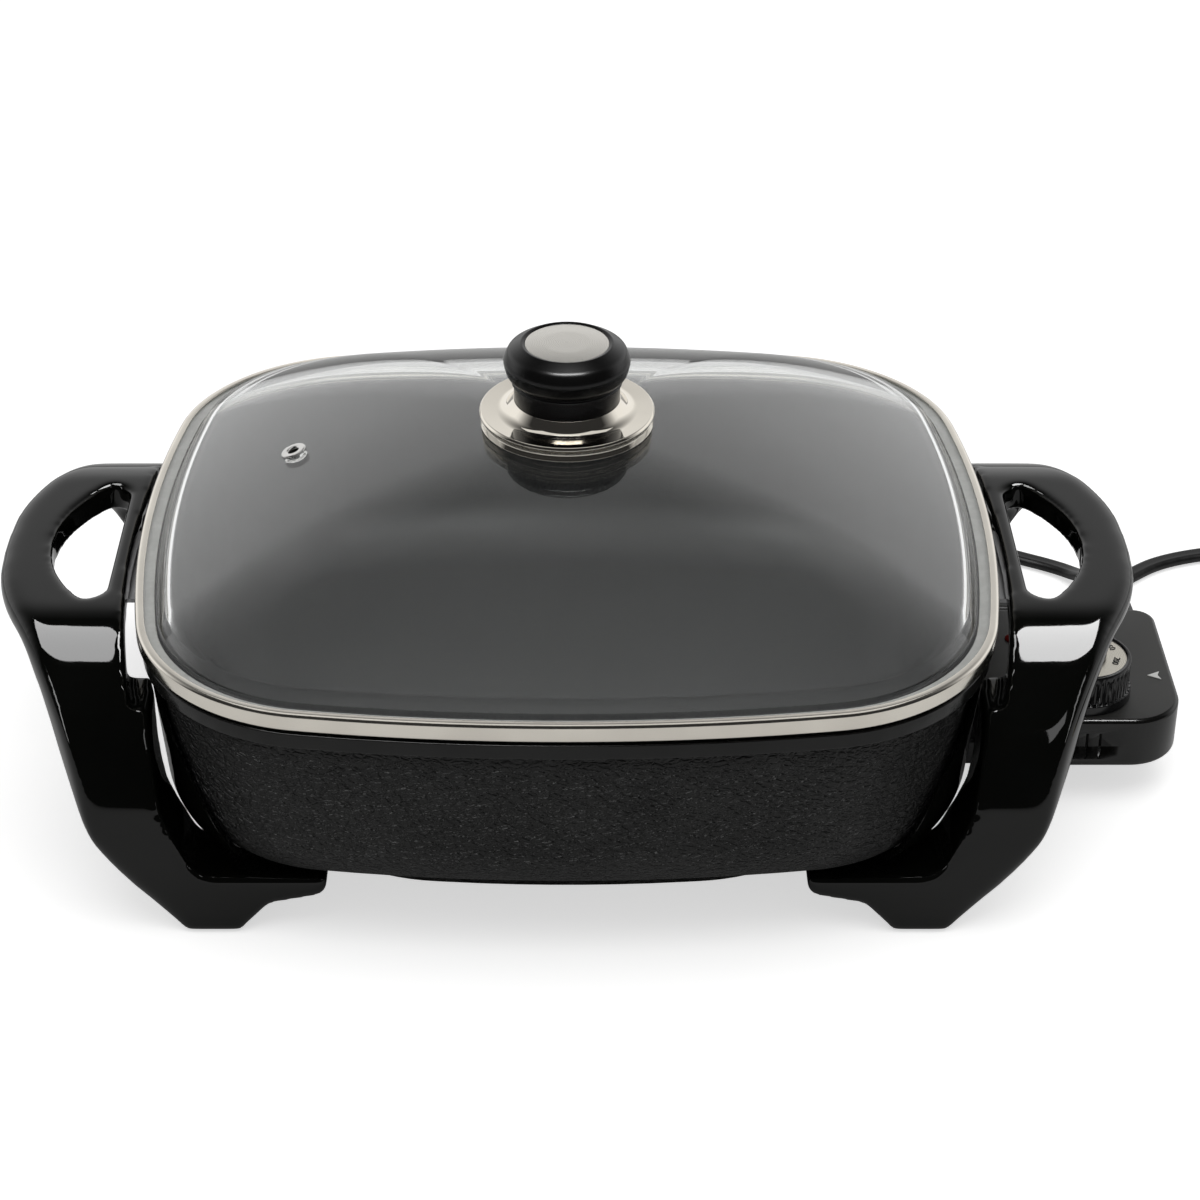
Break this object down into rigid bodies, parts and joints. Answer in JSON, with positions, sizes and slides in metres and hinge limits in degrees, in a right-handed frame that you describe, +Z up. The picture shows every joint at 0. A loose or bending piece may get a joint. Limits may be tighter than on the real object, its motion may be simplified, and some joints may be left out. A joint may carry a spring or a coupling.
{
  "type": "electric skillet",
  "caption": "Electric skillet: a deep cast pan on two arched handles with feet, a lift-off domed glass lid with a knob and steam vent, and a pull-out heat control with a dial and cord.",
  "frame": {"origin": "on the table, straight below the centre of the pan's outline", "axes": "+X towards the heat control, +Y away from the cook, +Z up"},
  "size_m": [0.6885, 0.3997, 0.2213],
  "materials": {
    "pan_casting": "textured dark coating outside, nonstick coating inside",
    "element_tube": "oxidised steel tube",
    "ceramic": "white ceramic",
    "terminal_metal": "nickel plated",
    "guard_sheet": "bare sheet steel",
    "screw_metal": "zinc plated",
    "handle_plastic": "satin black phenolic",
    "shield_plastic": "glossy black phenolic",
    "bracket_sheet": "zinc plated sheet steel",
    "pad_rubber": "matt black rubber",
    "rim_steel": "polished stainless steel",
    "lid_glass": "clear tempered glass",
    "seal_rubber": "pale silicone",
    "vent_metal": "polished steel",
    "base_steel": "polished steel",
    "knob_plastic": "satin black phenolic",
    "insert_silver": "satin silver",
    "housing_plastic": "fine textured dark grey plastic",
    "block_plastic": "black phenolic",
    "probe_metal": "stainless steel",
    "thermostat_metal": "bare metal",
    "lamp_glass": "clear neon lamp",
    "lens_red": "clear red plastic",
    "mark_white": "white print",
    "dial_plastic": "satin black plastic",
    "ring_silver": "satin silver with plain numbers",
    "cap_plastic": "black plastic",
    "shaft_metal": "turned steel",
    "lead_rubber": "black flexible lead",
    "blade_brass": "bare brass"
  },
  "bodies": {
    "base": {"pan_body": "pan_casting", "heating_element": "element_tube", "terminal_insulators": "ceramic", "terminal_pins": "terminal_metal", "terminal_guard": "guard_sheet", "guard_screws": "screw_metal", "handle_left": "handle_plastic", "handle_right": "handle_plastic", "heat_shield_left": "shield_plastic", "heat_shield_right": "shield_plastic", "handle_bracket_left": "bracket_sheet", "handle_bracket_right": "bracket_sheet", "bracket_screws": "screw_metal", "arm_screws": "screw_metal", "foot_pads": "pad_rubber"},
    "lid": {"lid_glass": "lid_glass", "lid_rim": "rim_steel", "lid_seal": "seal_rubber", "steam_vent": "vent_metal", "knob_base": "base_steel", "knob_gasket": "seal_rubber", "lid_knob": "knob_plastic", "knob_insert": "insert_silver", "knob_screw": "screw_metal", "knob_washer": "screw_metal"},
    "control": {"control_top_housing": "housing_plastic", "control_bottom_housing": "housing_plastic", "housing_screws": "screw_metal", "socket_block": "block_plastic", "contact_sockets": "terminal_metal", "temperature_probe": "probe_metal", "probe_collar": "probe_metal", "thermostat_frame": "thermostat_metal", "bimetal_blade": "thermostat_metal", "contact_screws": "screw_metal", "indicator_lamp": "lamp_glass", "indicator_lens": "lens_red", "pointer_mark": "mark_white", "strain_relief": "lead_rubber", "power_cord": "lead_rubber", "plug_body": "lead_rubber", "plug_blades": "blade_brass"},
    "dial": {"temperature_dial": "dial_plastic", "dial_ring": "ring_silver", "dial_cap": "cap_plastic", "dial_shaft": "shaft_metal"}
  },
  "joints": [
    {"name": "lid_lift", "type": "slide", "parent": "base", "child": "lid", "axis": [0, 0, 1], "range_m": [0, 0.15]},
    {"name": "control_pull", "type": "slide", "parent": "base", "child": "control", "axis": [1, 0, 0], "range_m": [0, 0.12]},
    {"name": "dial_turn", "type": "hinge", "parent": "control", "child": "dial", "pos_m": [0.2378, -0.006, 0.045], "axis": [0, 0, 1], "range_deg": [0, 270]}
  ]
}
